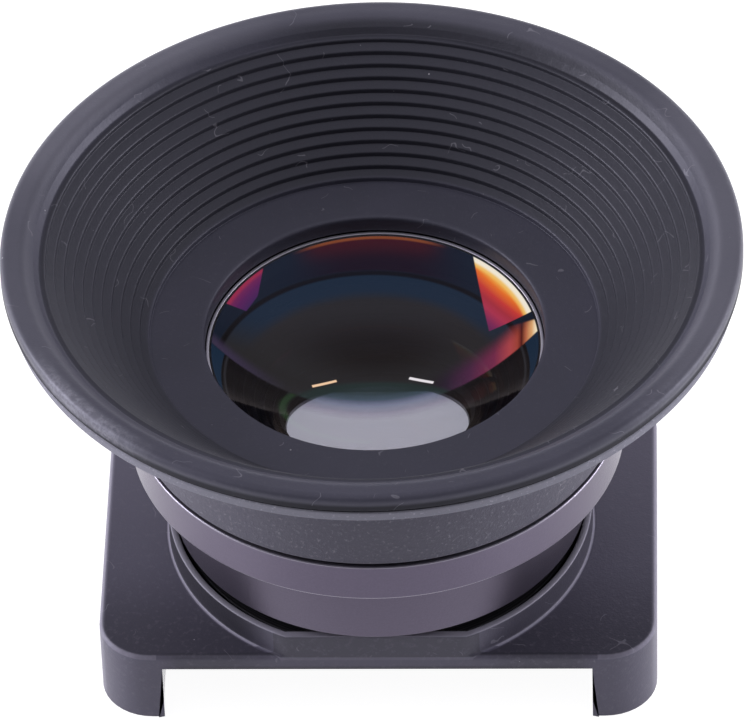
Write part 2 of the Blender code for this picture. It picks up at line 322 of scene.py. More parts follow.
def arc_points(centre, radius, start, stop, steps):
    angle = np.radians(np.linspace(start, stop, steps + 1))
    return np.column_stack([centre[0] + radius * np.cos(angle), centre[1] + radius * np.sin(angle)])


# Shading

class Value:
    """A shader socket that arithmetic can be written with."""

    def __init__(self, tree, socket):
        self.tree, self.socket = tree, socket

    def math(self, operation, *others, first=None):
        values = [self, *others] if first is None else [first, self]
        return self.tree.node("Math", {"operation": operation}, dict(enumerate(values)))

    def __add__(self, other):
        return self.math("ADD", other)

    def __radd__(self, other):
        return self.math("ADD", first=other)

    def __sub__(self, other):
        return self.math("SUBTRACT", other)

    def __rsub__(self, other):
        return self.math("SUBTRACT", first=other)

    def __mul__(self, other):
        return self.math("MULTIPLY", other)

    def __rmul__(self, other):
        return self.math("MULTIPLY", first=other)

    def __truediv__(self, other):
        return self.math("DIVIDE", other)

    def __pow__(self, other):
        return self.math("POWER", other)

    def __gt__(self, other):
        return self.math("GREATER_THAN", other)

    def __lt__(self, other):
        return self.math("LESS_THAN", other)

    def __abs__(self):
        return self.math("ABSOLUTE")


class Tree:
    """A material's or the world's node tree."""

    def __init__(self, owner):
        owner.use_nodes = True
        self.nodes, self.links = owner.node_tree.nodes, owner.node_tree.links
        self.nodes.clear()

    def node(self, kind, settings=None, sockets=None, output=0):
        """Adds a node: its settings first, then its sockets' values or links. Gives back an output of it."""
        made = self.nodes.new("ShaderNode" + kind)
        for name, value in (settings or {}).items():
            setattr(made, name, value)
        for name, value in (sockets or {}).items():
            socket = made.inputs[name]
            if isinstance(value, Value):
                self.links.new(value.socket, socket)
            elif isinstance(value, tuple) and len(value) == 3 and socket.type == "RGBA":
                socket.default_value = (*value, 1)
            else:
                socket.default_value = value
        return Value(self, made.outputs[output]) if len(made.outputs) else made

    def seen(self):
        """1 for a ray from the camera, for one off a mirroring surface and for one through glass."""
        path = self.node("LightPath").socket.node
        return [Value(self, path.outputs[f"Is {kind} Ray"]) for kind in ("Camera", "Glossy", "Transmission")]

    def parts(self, vector):
        node = self.node("SeparateXYZ", sockets={0: vector}).socket.node
        return [Value(self, output) for output in node.outputs]

    def noise(self, vector, scale, detail=2.0, roughness=0.5):
        sockets = {"Vector": vector, "Scale": scale, "Detail": detail, "Roughness": roughness}
        return self.node("TexNoise", sockets=sockets, output="Fac")

    def turning_marks(self, place, scale):
        """Noise that depends on the radius and the height only, as what a lathe leaves does."""
        across = self.node("CombineXYZ", sockets={0: place.radius, 1: place.z, 2: 0.0})
        return self.noise(across, scale, detail=3.0, roughness=0.7)

    def ramp(self, value, low, high):
        """0 below low, 1 above high, smooth between them."""
        return self.node("MapRange", {"interpolation_type": "SMOOTHSTEP"},
                         {"Value": value, "From Min": low, "From Max": high})

    def band(self, value, low, full, fading, high):
        """0 below low, 1 from full to fading, 0 above high, smooth between them."""
        return self.ramp(value, low, full) * (1 - self.ramp(value, fading, high))

    def mix(self, share, first, second):
        return self.node("Mix", {"data_type": "RGBA"}, {0: share, 6: first, 7: second}, output=2)

    def paint(self, base, *layers):
        """A colour with layers over it, each of them a share and the colour that covers by that share."""
        for share, colour in layers:
            base = self.mix(share, base, colour)
        return base

    def colours(self, value, stops):
        """A colour for each value, blended between rising (value, colour) stops."""
        low, high = stops[0][0], stops[-1][0]
        share = self.node("MapRange", sockets={"Value": value, "From Min": low, "From Max": high})
        made = self.node("ValToRGB", sockets={0: share}).socket.node
        elements = made.color_ramp.elements
        while len(elements) < len(stops):
            elements.new(0.5)
        for element, (place, colour) in zip(elements, stops):
            element.position = (place - low) / (high - low)
            element.color = (*colour, 1)
        return Value(self, made.outputs["Color"])

    def bump(self, height, distance):
        return self.node("Bump", sockets={"Height": height, "Distance": distance * mm})

    def specks(self, vector, scale, size, share):
        """Small round specks in some of the cells: 1 inside a speck."""
        sockets = {"Vector": vector, "Scale": scale}
        cell = self.node("TexVoronoi", {"feature": "F1"}, sockets, output="Distance")
        tint = Value(self, cell.socket.node.outputs["Color"])
        picked = self.parts(tint)[0] > 1 - share
        return (1 - self.ramp(cell, size * 0.5, size)) * picked

    def hairs(self, vector, scale, width):
        """Thin curved lines, where a noise crosses its middle value, kept only in a few places."""
        line = 1 - self.ramp(abs(self.noise(vector, scale, detail=1.0) - 0.5), width * 0.5, width)
        return line * self.ramp(self.noise(vector, scale * 1.3, detail=0.0), 0.69, 0.71)

    def inside(self, x, y, corners, soft=0.08):
        """1 within a convex outline of (x, y) corners, given counter-clockwise, with a soft edge."""
        share = 1.0
        for (ax, ay), (bx, by) in zip(corners, corners[1:] + corners[:1]):
            depth = ((y - ay) * (bx - ax) - (x - ax) * (by - ay)) / math.hypot(bx - ax, by - ay)
            share = self.ramp(depth, 0.0, soft) * share
        return share

    def finish(self, shader):
        self.node("OutputMaterial", sockets={"Surface": shader})


class Place:
    """Where a point of the piece is, in millimetres: a vector, its x, y and z, and its radius about Z."""

    def __init__(self, tree):
        metres = tree.node("TexCoord", output="Object")
        self.vector = tree.node("VectorMath", {"operation": "SCALE"}, {0: metres, "Scale": 1 / mm})
        self.x, self.y, self.z = tree.parts(self.vector)
        self.radius = (self.x * self.x + self.y * self.y) ** 0.5


def new_material(name):
    material = bpy.data.materials.new(name)
    tree = Tree(material)
    return material, tree, Place(tree)


def distance(x, y, centre):
    across, along = x - centre[0], y - centre[1]
    return (across * across + along * along) ** 0.5


def painted_glow(red, green, blue):
    """A painted reflection's glow, as emission over the barrel's dark inside, for a picture value from 0 to
    255 in each part.
    """
    dark_inside = [27, 26, 29]
    values = np.array([[red, green, blue], dark_inside]) / 255
    linear = ((values + 0.055) / 1.055) ** 2.4
    return tuple(np.maximum(linear[0] - linear[1], 0).tolist())


def principled(tree, **sockets):
    names = {name.replace("_", " ").title().replace("Ior", "IOR"): value for name, value in sockets.items()}
    return tree.node("BsdfPrincipled", sockets=names)


def rubber():
    """Moulded rubber: nearly black with a violet cast, an even fine grain, and a coarse pale one on the neck.
    Painted shade darkens the terraces, the ledge at the far side and the underside of the lip, and a painted
    highlight lightens the lip, most at its two sides. The hem and the front of the lip, at left and right,
    carry mottled painted highlights, and there are specks and hairs of dust."""
    material, tree, place = new_material("eyecup_rubber")
    spot, x, y, z, radius = place.vector, place.x, place.y, place.z, place.radius
    grain = tree.noise(spot, 9.0, detail=3.0, roughness=0.6)
    coarse = tree.noise(spot, 4.5, detail=4.0, roughness=0.7)
    mottle = tree.noise(spot, 1.6, detail=3.0, roughness=0.6)
    cloud = tree.noise(spot, 0.25, detail=3.0)
    grit = tree.ramp(coarse, 0.56, 0.70)

    neck = z < cone_foot - 0.23
    # Painted shade: the terraces of the bowl are painted darker.
    terraces = tree.band(radius, bowl_radius - 0.06, bowl_radius + 0.24, 19.0, 19.5) * (z > floor_top)
    # Painted shade: the ledge at the far side is painted darker.
    far_side = tree.ramp(y, 6.0, 14.0) * (1 - tree.ramp(-1 * x, 2.0, 9.0))
    ledge = tree.band(radius, 19.1, 19.3, 19.8, 20.2) * far_side
    # Painted highlight: the lip is painted lighter, least at its front, more at its left and right sides.
    lip = tree.ramp(radius, 19.6, 20.2) * (z > 26.9) * (1 - tree.ramp(-1 * y, 9.0, 17.0) * 0.9)
    lip_left_highlight = lip * tree.ramp(-1 * x, 4.0, 13.0) * tree.ramp(y, 2.0, 9.0)
    lip_right_highlight = lip * tree.ramp(x, 15.0, 19.0)
    # Painted shade under the lip.
    under = tree.ramp(radius, 20.7, 21.0) * (1 - tree.ramp(z, 26.95, 27.25))
    # Painted highlight: a light line along the hem, mottled by the coarse grain.
    hem = (radius > hem_top_radius - 0.05) * (z < hem_top - 0.07) * (0.55 + grit * 0.45)
    # Painted highlights on the outer lip at its lower left and lower right, mottled.
    highlight_mottle = 0.5 + tree.ramp(mottle * 0.5 + coarse * 0.5, 0.44, 0.60) * 0.5
    shoulder = tree.ramp(radius, 20.6, 21.2) * tree.ramp(z, 26.8, 27.0) * highlight_mottle
    left = 1 - tree.ramp(distance(x, y, (-16.2, -14.0)), 1.5, 6.5)
    right = 1 - tree.ramp(distance(x, y, (17.0, -13.3)), 1.0, 4.0)

    colour = tree.paint(
        tree.mix(cloud, (0.037, 0.037, 0.052), (0.050, 0.048, 0.071)),
        (grit * 0.25, (0.095, 0.093, 0.115)),
        (terraces * 0.70, (0.013, 0.0135, 0.017)),
        (lip * (0.35 + cloud * 0.5), (0.085, 0.083, 0.105)),
        (lip_left_highlight * 0.6, (0.14, 0.137, 0.167)),
        (lip_right_highlight * 0.35, (0.14, 0.137, 0.167)),
        (ledge * 0.7, (0.014, 0.014, 0.018)),
        (under * 0.95, (0.007, 0.007, 0.010)),
        (hem, (0.40, 0.395, 0.47)),
        (shoulder * (left * 0.65 + right * 0.12), (0.27, 0.267, 0.315)),
        (neck * (0.25 + coarse * 0.5), (0.120, 0.112, 0.143)),
        (neck * grit * 0.5, (0.26, 0.25, 0.29)),
        (tree.specks(spot, 0.45, 0.028, 0.7) * 0.7, (0.45, 0.44, 0.47)),
        (tree.specks(spot, 1.1, 0.05, 0.25) * 0.35, (0.35, 0.34, 0.38)),
        (tree.hairs(spot, 0.6, 0.008) * 0.3, (0.30, 0.29, 0.33)))
    rough = 0.38 + cloud * 0.12 + grain * 0.08 + neck * 0.12 + under * 0.3
    height = grain * 0.5 + neck * coarse * 2.4 + mottle * 1.2
    tree.finish(principled(tree, base_color=colour, roughness=rough, ior=1.5, specular_tint=(0.86, 0.85, 1.0),
                           normal=tree.bump(height, 0.02)))
    return material


def anodised():
    """Satin anodised metal with a violet cast and fine marks of turning. Painted shade makes the tube a
    little darker than the flange, the flange's two edges carry painted highlights, and the bore behind the
    glass is matt black."""
    material, tree, place = new_material("anodised_metal")
    z, radius = place.z, place.radius
    marks = tree.turning_marks(place, 14.0)
    grain = tree.noise(place.vector, 8.0, detail=3.0, roughness=0.6)
    # Painted shade: the tube under the flange is painted darker.
    tube = z < flange_bottom - 0.03
    # Painted highlights: light lines along the flange's upper and lower edges.
    upper_edge = tree.ramp(z, flange_top - 0.13, flange_top - 0.06) * (radius > flange_top_radius - 0.25)
    lower_edge = (z < flange_bottom + 0.09) * (z > flange_bottom - 0.03) * (radius > flange_radius - 0.24)
    edges = (upper_edge + lower_edge).math("MINIMUM", 1.0)
    inside = (radius < head_bore + 0.05) * (z > stop_bottom)

    colour = tree.paint(
        tree.mix(grain, (0.100, 0.086, 0.122), (0.128, 0.110, 0.156)),
        (tube * 0.2, (0.03, 0.028, 0.032)),
        (edges * (0.15 + marks * 0.5), (0.50, 0.48, 0.55)),
        (inside, (0.010, 0.009, 0.010)))
    rough = 0.27 + marks * 0.06 + grain * 0.05 + inside * 0.4
    tree.finish(principled(tree, base_color=colour, metallic=0.9 - inside * 0.9, roughness=rough, ior=1.5,
                           normal=tree.bump(marks * 0.6 + grain, 0.012)))
    return material


def blackened():
    """Blackened metal of the lens rings and the threaded ring, with fine lighter lines of turning. The edge
    that stands up round the eye lens carries a painted highlight."""
    material, tree, place = new_material("blackened_metal")
    marks = tree.turning_marks(place, 12.0)
    colour = tree.paint(
        tree.mix(tree.ramp(marks, 0.45, 0.75), (0.03, 0.029, 0.034), (0.09, 0.088, 0.1)),
        # Painted highlight on the edge that stands up round the eye lens.
        (place.z > eye_ring_lip - 0.07, (0.62, 0.60, 0.68)))
    tree.finish(principled(tree, base_color=colour, metallic=0.8, roughness=0.3 + marks * 0.15, ior=1.5,
                           normal=tree.bump(marks, 0.01)))
    return material


def baffle_black():
    """Matt black paint with a fine speckle."""
    material, tree, place = new_material("baffle_black")
    grain = tree.noise(place.vector, 12.0)
    colour = tree.mix(grain, (0.012, 0.011, 0.012), (0.03, 0.028, 0.028))
    tree.finish(principled(tree, base_color=colour, roughness=0.6 + grain * 0.15, ior=1.45,
                           normal=tree.bump(grain, 0.01)))
    return material


def moulded():
    """Moulded plastic of the mount plate: charcoal with a violet cast, faint flow marks and dust. Painted
    light
    and shade: its top is darker at the front and lighter at the back, its front face darker at the sides and
    the foot, its flanks and the channel's walls lighter, and the collar's walls darker at the sides. The top
    edge, the collar's rim and its foot carry painted highlights."""
    material, tree, place = new_material("moulded_plastic")
    spot, x, y, z, radius = place.vector, place.x, place.y, place.z, place.radius
    grain = tree.noise(spot, 7.0, detail=3.0, roughness=0.6)
    mottle = tree.noise(spot, 3.0, detail=4.0, roughness=0.7)
    cloud = tree.noise(spot, 0.2, detail=3.0)

    outside = (radius > collar_radius + 0.25).math("MAXIMUM", abs(y) > 11.1)
    top = (z > plate_top - 0.05) * outside
    # Painted light at the back of the plate's top, and painted shade at its front.
    top_back_light = top * tree.ramp(y, -11.0, 9.0)
    top_front_shade = top * (1 - tree.ramp(y, -11.0, -3.0))
    # Painted light on the plate's flanks.
    flank_light = tree.ramp(abs(x), plate_half_width - 0.4, plate_half_width - 0.1)
    front = (y < -11.1) * (z > plate_underside - 0.01) * (1 - tree.ramp(abs(x), 11.5, 13.0)) * (z < 5.3)
    # Painted shade on the front face, at its sides and along its foot.
    front_sides_shade = front * tree.ramp(abs(x), 5.5, 9.0)
    front_foot_shade = front * (1 - tree.ramp(z, 4.2, 4.35))
    # Painted highlights on the plate's top edge, less at the front, on the collar's foot and on its rim.
    edge = tree.band(z, 4.74, 4.84, 5.01, 5.045) * outside
    edge_front = tree.ramp(-1 * y, 11.0, 11.4) * (abs(x) < 13.0)
    foot = (1 - tree.ramp(abs(radius - collar_radius - 0.11), 0.04, 0.10)) * (z < 5.2) * (abs(y) < 10.6)
    rim = tree.ramp(z, collar_top - 0.09, collar_top - 0.04)
    # Painted shade on the collar's walls at the sides, more on the left.
    collar_side_shade = tree.ramp(abs(x), 4.5, 8.5) * (radius > 12.2) * (radius < 12.72) * (z > 5.12)
    # Painted light on the channel's walls between the legs.
    within_channel = (abs(x) < channel_lead_in + 0.035) * (z < plate_underside - 0.01)
    wall = within_channel * (y < channel_stop + 0.03) * (y > -plate_half_depth + 0.05)

    colour = tree.paint(
        tree.mix(cloud, (0.071, 0.066, 0.094), (0.096, 0.089, 0.127)),
        (top_back_light, (0.126, 0.118, 0.160)),
        (top_front_shade * 0.8, (0.030, 0.028, 0.040)),
        (front_sides_shade * 0.6, (0.028, 0.027, 0.036)),
        (front_foot_shade * 0.6, (0.015, 0.014, 0.018)),
        (flank_light * 0.55, (0.22, 0.21, 0.26)),
        (tree.ramp(mottle, 0.50, 0.75) * 0.3, (0.17, 0.16, 0.20)),
        (collar_side_shade * (0.60 + (x < 0) * 0.35), (0.012, 0.011, 0.016)),
        (edge * (0.15 + mottle * 0.3) * (1 - edge_front * 0.7), (0.40, 0.38, 0.46)),
        (foot * 0.5, (0.34, 0.32, 0.40)),
        (rim * 0.5, (0.42, 0.40, 0.48)),
        (wall * 0.9, (0.50, 0.48, 0.56)),
        (tree.specks(spot, 0.4, 0.028, 0.7) * 0.7, (0.42, 0.41, 0.45)),
        (tree.hairs(spot, 0.55, 0.008) * 0.3, (0.30, 0.29, 0.34)))
    rough = (0.44 + grain * 0.08 + cloud * 0.06) * (1 - wall * 0.7)
    tree.finish(principled(tree, base_color=colour, roughness=rough, ior=1.5, specular_tint=(0.86, 0.84, 1.0),
                           normal=tree.bump(grain + mottle * 0.5, 0.014)))
    return material


def finish_lens(tree, polished, radius, clear_radius):
    """Glass with its rim, outside the clear radius, painted black."""
    paint = principled(tree, base_color=(0.01, 0.01, 0.012), roughness=0.5)
    tree.finish(tree.node("MixShader", sockets={0: radius > clear_radius, 1: polished, 2: paint}))


def field_glass(name, ior, film):
    """Optical glass with one coating, its thickness in nanometres. A faint haze shows in its roughness."""
    material, tree, place = new_material(name)
    haze = tree.noise(place.vector, 0.8, detail=3.0)
    tint = (0.88, 0.88, 0.90)
    colour = tree.mix(haze, tint, tuple(0.97 * part for part in tint))
    polished = principled(tree, base_color=colour, roughness=haze * 0.01, transmission_weight=1.0, ior=ior,
                          thin_film_thickness=film, thin_film_ior=1.38)
    finish_lens(tree, polished, place.radius, field_clear_radius)
    return material


black = (0.0, 0.0, 0.0)


def eye_painted_reflections(tree, x, y, radius, inner, above, dome):
    """Painted reflections that the eye lens gives off as emission, by place in millimetres from the axis: a
    blue band under the far rim with a dark line round it, a maroon edge at the top, a pane of light at the
    right rim that runs from yellow over orange to magenta, with a second piece under it that trails off to
    the left, a smaller pane at the left rim, and a dim dome over the window with two short bright dashes."""
    middle = tree.ramp((x * x * 0.25 + (y - 1.6) * (y - 1.6)) ** 0.5, 0.5, 3.5)
    blue = tree.ramp(inner, 7.2, 8.1) * tree.ramp(y, 0.0, 3.5)
    beyond = tree.mix(tree.ramp(abs(x), 1.5, 6.0), painted_glow(36, 28, 38), painted_glow(31, 37, 50))
    line = tree.band(inner, 8.92, 9.08, 9.22, 9.4) * tree.ramp(y, -2.0, 1.0)
    crown = tree.ramp(y, 6.5, 9.2) * (1 - tree.ramp(abs(x + 0.5), 2.8, 4.8))

    trail = (1 - tree.ramp(above, 0.9, 2.8)) * (1 - tree.ramp(y, 2.15, 2.35)) * tree.ramp(x, 2.4, 4.6)
    trail_light = tree.colours(x, [
        (2.4, black), (4.2, painted_glow(50, 40, 56)), (5.6, painted_glow(80, 46, 74)), (7.0, painted_glow(120, 50, 80)),
        (7.9, painted_glow(178, 74, 80)), (8.35, painted_glow(166, 72, 62)), (8.6, painted_glow(84, 34, 34)),
        (8.85, painted_glow(186, 104, 76)), (9.2, painted_glow(232, 176, 120)), (9.45, painted_glow(255, 240, 206))])
    left_trail = (1 - tree.ramp(above, 0.3, 1.3)) * (1 - tree.ramp(x, -9.3, -4.5))

    right_pane = tree.inside(x, y, [(6.63, 2.14), (10.5, 3.32), (10.5, 9.0), (5.40, 9.0)])
    slant = x * 0.785 + y * 0.62
    right_light = tree.paint(
        tree.colours(slant, [
            (6.4, painted_glow(88, 46, 88)), (7.0, painted_glow(126, 48, 92)), (7.6, painted_glow(176, 58, 84)),
            (8.0, painted_glow(170, 54, 68)), (8.4, painted_glow(204, 64, 60)), (8.85, painted_glow(238, 116, 48)),
            (9.15, painted_glow(252, 176, 76))]),
        (tree.ramp(radius, 9.02, 9.28), painted_glow(254, 204, 112)),
        (tree.ramp(radius, 9.24, 9.44), painted_glow(255, 246, 226)))
    left_pane = tree.inside(x, y, [(-7.67, 3.47), (-7.02, 4.79), (-6.65, 7.6), (-10.5, 8.0), (-10.5, 3.99)])
    left_light = tree.colours(radius, [
        (7.9, painted_glow(52, 44, 84)), (8.5, painted_glow(72, 43, 92)), (9.0, painted_glow(94, 40, 94)), (9.3, painted_glow(112, 42, 90)),
        (9.5, painted_glow(156, 50, 80))])
    left_dash = tree.inside(x, y, [(-3.66, -1.98), (-2.20, -1.26), (-2.28, -1.02), (-3.74, -1.72)], 0.06)
    right_dash = tree.inside(x, y, [(1.92, -1.02), (3.42, -1.62), (3.50, -1.36), (2.02, -0.76)], 0.06)

    return tree.paint(
        tree.mix(middle, painted_glow(32, 30, 31), painted_glow(47, 46, 49)),
        (blue, painted_glow(35, 47, 64)),
        (tree.ramp(inner, 9.2, 9.4), beyond),
        (line * 0.95, black),
        (crown * tree.ramp(radius, 7.9, 9.6), painted_glow(66, 28, 34)),
        (crown * tree.ramp(radius, 9.38, 9.5), painted_glow(130, 72, 44)),
        (trail, trail_light),
        (left_trail, painted_glow(62, 54, 76)),
        (right_pane, right_light),
        (left_pane, left_light),
        (1 - tree.ramp(dome, 0.88, 1.0), painted_glow(44, 54, 55)),
        (left_dash, painted_glow(255, 214, 176)),
        (right_dash, painted_glow(246, 240, 246)))


def eye_glass():
    """Glass of the eye lens. Its hollow front gives off painted reflections as emission, on a veil that ends
    below on a hollow curve, and its tint is a painted shade that darkens what is seen through it from that
    curve up. Under the curve the glass is clear but for a blue crescent, painted shade in the tint and a
    painted reflection, and a faint edge at either rim and a green fringe at the dome's left, both painted
    reflections."""
    material, tree, place = new_material("eye_lens_glass")
    x, y, z, radius = place.x, place.y, place.z, place.radius
    haze = tree.noise(place.vector, 0.8, detail=3.0)
    front = (z > 16.5) * (1 - tree.ramp(radius, 9.58, 9.64))
    above = y - (x * x * 0.0478 + x * 0.051 - 3.69)
    veil = tree.ramp(above, 0.0, 0.2) * front
    inner = distance(x, y, (-0.2, -1.9))
    dome = ((x - 0.15) * (x - 0.15) / 31.0 + (y + 4.2) * (y + 4.2) / 10.4) ** 0.5
    right = x > 0
    crescent = tree.ramp(inner - right * 0.56, 8.72, 8.80) * tree.ramp(y, -4.8, -3.0) * (1 - veil) * front
    clear = (1 - veil) * front * (1 - crescent)
    edge = tree.band(inner - right * 0.50, 8.44, 8.54, 8.56, 8.68) * clear * tree.ramp(y, -6.5, -3.5)
    fringe = tree.band(dome, 0.92, 0.97, 0.99, 1.05) * clear * (x < 0)

    # Painted reflections, given off as emission by the front of the glass.
    light = tree.paint(
        tree.mix(veil, black, eye_painted_reflections(tree, x, y, radius, inner, above, dome)),
        (crescent, painted_glow(32, 47, 66)),
        (edge * 0.7, painted_glow(52, 52, 58)),
        (fringe, painted_glow(40, 58, 42)))
    # Painted shade: the tint darkens what is seen through the veil and the crescent.
    dark_painted_shade = (0.046, 0.066, 0.108)
    veil_painted_shade = tree.colours(above, [
        (-1.24, (0.80, 0.78, 0.875)), (-0.64, (0.59, 0.52, 0.68)), (-0.35, (0.40, 0.37, 0.52)),
        (-0.05, (0.34, 0.35, 0.50)), (0.25, (0.208, 0.216, 0.38)), (0.55, (0.077, 0.082, 0.177)),
        (0.84, (0.011, 0.020, 0.042)), (1.44, (0.001, 0.002, 0.003)), (2.40, dark_painted_shade)])
    tint = tree.paint(
        tree.mix(haze, (0.81, 0.785, 0.885), (0.78, 0.755, 0.855)),
        (front, veil_painted_shade),
        (crescent, dark_painted_shade))
    polished = principled(tree, base_color=tint, roughness=haze * 0.01, transmission_weight=1.0, ior=1.52,
                          thin_film_thickness=110.0, thin_film_ior=1.38, emission_color=light,
                          emission_strength=0.85)
    finish_lens(tree, polished, radius, eye_clear_radius)
    return material


# Pieces

def sag(curve, reach):
    return curve - np.sqrt(curve ** 2 - reach ** 2)


def lens_side(rim_height, curve, reach, way, steps=24):
    """Half of a spherical surface from its pole out to its rim: it rises outwards where way is 1 and falls
    where way is -1, as z = pole + way * (R - sqrt(R^2 - r^2))."""
    radius = np.linspace(0, reach, steps + 1)
    pole = rim_height - way * sag(curve, reach)
    return np.column_stack([radius, pole + way * sag(curve, radius)])


def eyecup(material):
    """Flared rubber cup: eye opening, floor, terraces, rolled lip with its hem, cone, neck and inner bead."""
    corners = [(cup_opening, cup_underside, 0.08), (cup_opening, floor_top, 0.2)]
    for i in range(rib_count):
        radius, height = bowl_radius + i * rib_run, floor_top + i * rib_rise
        corners += [(radius, height, 0.04), (radius + 0.02, height + rib_riser, 0.12)]
    corners += [(ledge_radius, ledge_height, 0.1), (lip_foot_radius, lip_foot, 0.3),
                (lip_inner_radius, lip_top, 0.7), (lip_radius, lip_top, 0.85),
                (lip_radius, lip_underside, 0.1), (hem_top_radius, hem_top, 0.03),
                (hem_radius, hem_middle, 0.1), (hem_top_radius, hem_bottom, 0.1),
                (cone_top_radius, cone_top, 0.2), (neck_outer, cone_foot, 0.4), (neck_outer, neck_end, 0.1),
                (neck_inner, neck_end, 0.05), (neck_inner, bead_bottom, 0.05),
                (bead_radius, bead_bottom, 0.1), (bead_radius, bead_top, 0.1), (neck_inner, bead_top, 0.05),
                (neck_inner, cup_underside, 0.05)]
    turned_piece("eyecup_skin", rounded(corners, 3), material, "eyecup", "eyecup")


def barrel(material):
    """Turned body: grooved head, tapered flange with broken edges, tube, threaded spigot and the bores."""
    outside = [(head_bore, head_top, 0.05), (head_radius, head_top, 0.15), (head_radius, groove_top, 0.04),
               (groove_radius, groove_top, 0.04), (groove_radius, groove_bottom, 0.04),
               (head_radius, groove_bottom, 0.04), (head_radius, flange_top, 0.04),
               (flange_top_radius, flange_top, 0.1), (flange_radius, flange_bottom, 0.1),
               (tube_radius, flange_bottom, 0.03), (tube_radius, tube_end, 0.05),
               (relief_radius, tube_end, 0.05), (relief_radius, relief_bottom, 0.05)]
    thread_heights = np.linspace(thread_top, thread_bottom, thread_rows)
    thread = [(spigot_radius - thread_depth, height) for height in thread_heights]
    bores = [(relief_radius, barrel_foot, 0.05), (spigot_bore, barrel_foot, 0.05),
             (spigot_bore, stop_bottom, 0.03), (stop_radius, stop_bottom, 0.03),
             (stop_radius, stop_top, 0.03), (cell_radius, stop_top, 0.03), (cell_radius, eye_seat, 0.03),
             (head_bore, eye_seat, 0.03)]
    profile = rounded(outside + thread + bores)
    turned_piece("barrel_skin", profile, material, "barrel", "barrel",
                 thread=(thread_depth, thread_bottom + 0.1, thread_top - 0.05))


def eye_lens_ring(material):
    """Ring over the eye lens, with two spanner slots. Its thin inner edge stands up round the lens and shows
    as a light line, a painted highlight, inside the eye opening."""
    profile = rounded([(eye_lens_radius, head_top, 0.04), (eye_lens_radius, eye_ring_bottom, 0.04),
                       (eye_ring_throat, eye_ring_bottom, 0.03), (eye_ring_throat, eye_ring_lip, 0.04),
                       (eye_ring_edge, eye_ring_lip, 0.06), (eye_ring_edge + 0.02, head_top, 0.03),
                       (eye_slot_start - 0.01, head_top), (eye_slot_start + 0.01, head_top)])
    turned_piece("eye_ring_skin", profile, material, "barrel", "eye_lens_ring",
                 notch=(eye_slot_start, head_top - slot_depth, 1))


def field_lens_ring(material):
    """Ring that closes the stack of lenses from below, with two spanner slots."""
    profile = rounded([(field_lens_radius, field_ring_top, 0.05),
                       (field_lens_radius, field_ring_bottom, 0.05),
                       (field_slot_start + 0.01, field_ring_bottom),
                       (field_slot_start - 0.01, field_ring_bottom),
                       (field_ring_bore, field_ring_bottom, 0.05), (field_ring_bore, field_ring_top, 0.05)])
    turned_piece("field_ring_skin", profile, material, "barrel", "field_lens_ring",
                 notch=(field_slot_start, field_ring_bottom + slot_depth, -1))


def baffle_tube(material):
    """Blackened cone of steps between the lenses."""
    corners = [(baffle_mouth, eye_seat, 0.03), (baffle_radius, eye_seat, 0.05),
               (baffle_radius, baffle_bottom, 0.05)]
    pitch = (eye_seat - baffle_bottom) / baffle_steps
    widening = (baffle_mouth - baffle_throat) / baffle_steps
    for i in range(baffle_steps):
        radius, height = baffle_throat + i * widening, baffle_bottom + i * pitch
        corners += [(radius, height, 0.02), (radius, height + baffle_riser, 0.02),
                    (radius + baffle_tread, height + baffle_riser, 0.02)]
    turned_piece("baffle_skin", rounded(corners, 3), material, "lens_train", "baffle_tube")


def lens(name, node, sides, edges, material):
    """A lens from the profiles of its two sides, each from its pole out, and the corners between them."""
    profile = np.vstack([sides[0], edges, sides[1][::-1]])
    turned_piece(name, profile, material, "lens_train", node, closed=False,
                 columns=lens_columns)


def eye_lens(material):
    """Hollow front on a shoulder, and a flatter hollow back."""
    front = lens_side(eye_front_top, eye_front_curve, eye_front_radius, 1)
    back = lens_side(eye_lens_bottom, eye_back_curve, eye_back_radius, -1)
    shoulder = [(eye_front_radius, eye_lens_top), (eye_lens_radius, eye_lens_top),
                (eye_lens_radius, eye_lens_bottom)]
    lens("eye_lens_skin", "eye_lens", (front, back), shoulder, material)


def field_lenses():
    """The crown and, above it, the flint, with a thin gap of air between them."""
    outer = lens_side(crown_bottom, crown_curve, crown_reach, 1)
    inner = lens_side(crown_top, inner_curve, inner_reach, -1)
    edge = [(field_lens_radius, crown_bottom), (field_lens_radius, crown_top)]
    lens("crown_skin", "field_crown_lens", (outer, inner), edge, field_glass("crown_glass", 1.52, 110.0))
    inner = lens_side(flint_bottom, inner_curve, inner_reach, -1)
    outer = lens_side(flint_top, flint_curve, flint_reach, -1)
    edge = [(field_lens_radius, flint_bottom), (field_lens_radius, flint_top)]
    lens("flint_skin", "field_flint_lens", (inner, outer), edge, field_glass("flint_glass", 1.60, 120.0))


def flat_sided(radius, flat, arc_steps=60, flat_steps=23):
    """Outline of a circle cut straight across at y = -flat and y = flat, from the front's right end round."""
    half = math.degrees(math.acos(flat / radius))
    right = arc_points((0, 0), radius, half - 90, 90 - half, arc_steps)
    left = arc_points((0, 0), radius, half + 90, 270 - half, arc_steps)
    reach = radius * math.sin(math.radians(half))
    across = np.linspace(-reach, reach, flat_steps + 1)[1:-1]
    front = np.column_stack([across, np.full(len(across), -flat)])
    back = np.column_stack([-across, np.full(len(across), flat)])
    return np.vstack([right, back, left, front])


